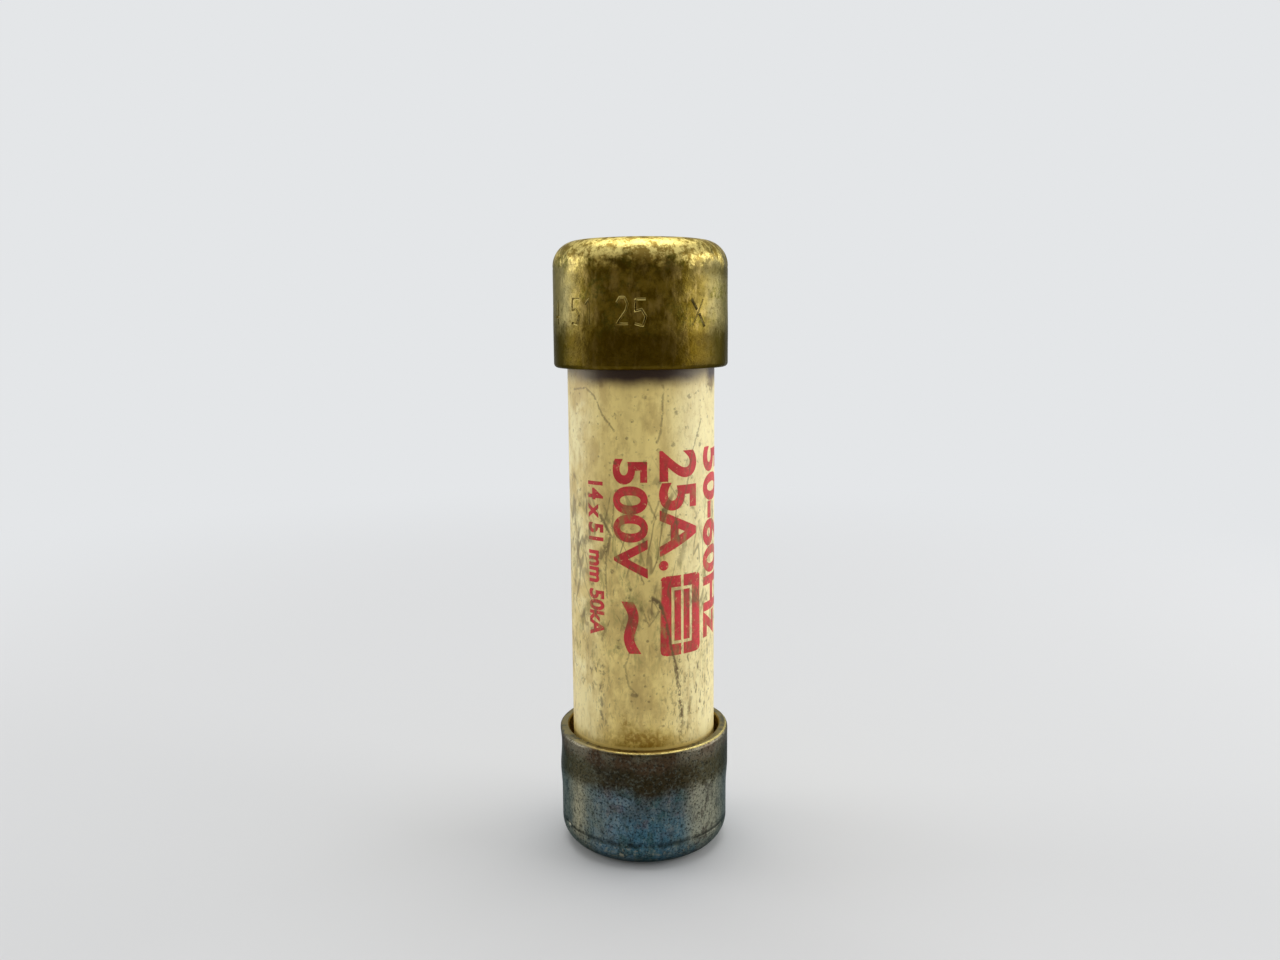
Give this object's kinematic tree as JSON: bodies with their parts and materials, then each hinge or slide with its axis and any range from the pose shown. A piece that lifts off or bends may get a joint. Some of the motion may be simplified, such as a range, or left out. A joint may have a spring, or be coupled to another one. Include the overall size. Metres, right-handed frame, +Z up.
{
  "type": "cartridge fuse",
  "caption": "Cylindrical cartridge fuse: a ceramic tube of quartz sand and notched silver strips between pressed-on brass contact caps, which breaks a circuit on overcurrent.",
  "frame": {"origin": "centre of the lower end face, on which the fuse stands", "axes": "+Z up along the fuse's axis, from the lower cap to the upper one; the print on the tube faces -Y"},
  "size_m": [0.0146, 0.0146, 0.051],
  "materials": {
    "cream_ceramic": "matt, unglazed, marked by handling",
    "red_ink": "thin printed ink on the ceramic, worn",
    "quartz_sand": "fine sand, set hard",
    "silver": "bright rolled silver strip",
    "fibre_board": "pressed mineral fibre",
    "plug_silicone": "moulded silicone",
    "bare_brass": "bright drawn brass",
    "tarnished_plating": "worn nickel plating, tarnished blue-grey and olive",
    "aged_brass": "polished, aged to dark olive, worn bright at the corner"
  },
  "bodies": {
    "root": {"ceramic_tube": "cream_ceramic", "quartz_sand_filler": "quartz_sand", "fuse_element_1": "silver", "fuse_element_2": "silver", "fuse_element_3": "silver", "lower_end_disc": "fibre_board", "upper_end_disc": "fibre_board", "fill_hole_plug": "plug_silicone", "lower_inner_cap": "bare_brass", "upper_inner_cap": "bare_brass", "lower_outer_cap": "tarnished_plating", "upper_outer_cap": "aged_brass"}
  },
  "joints": []
}
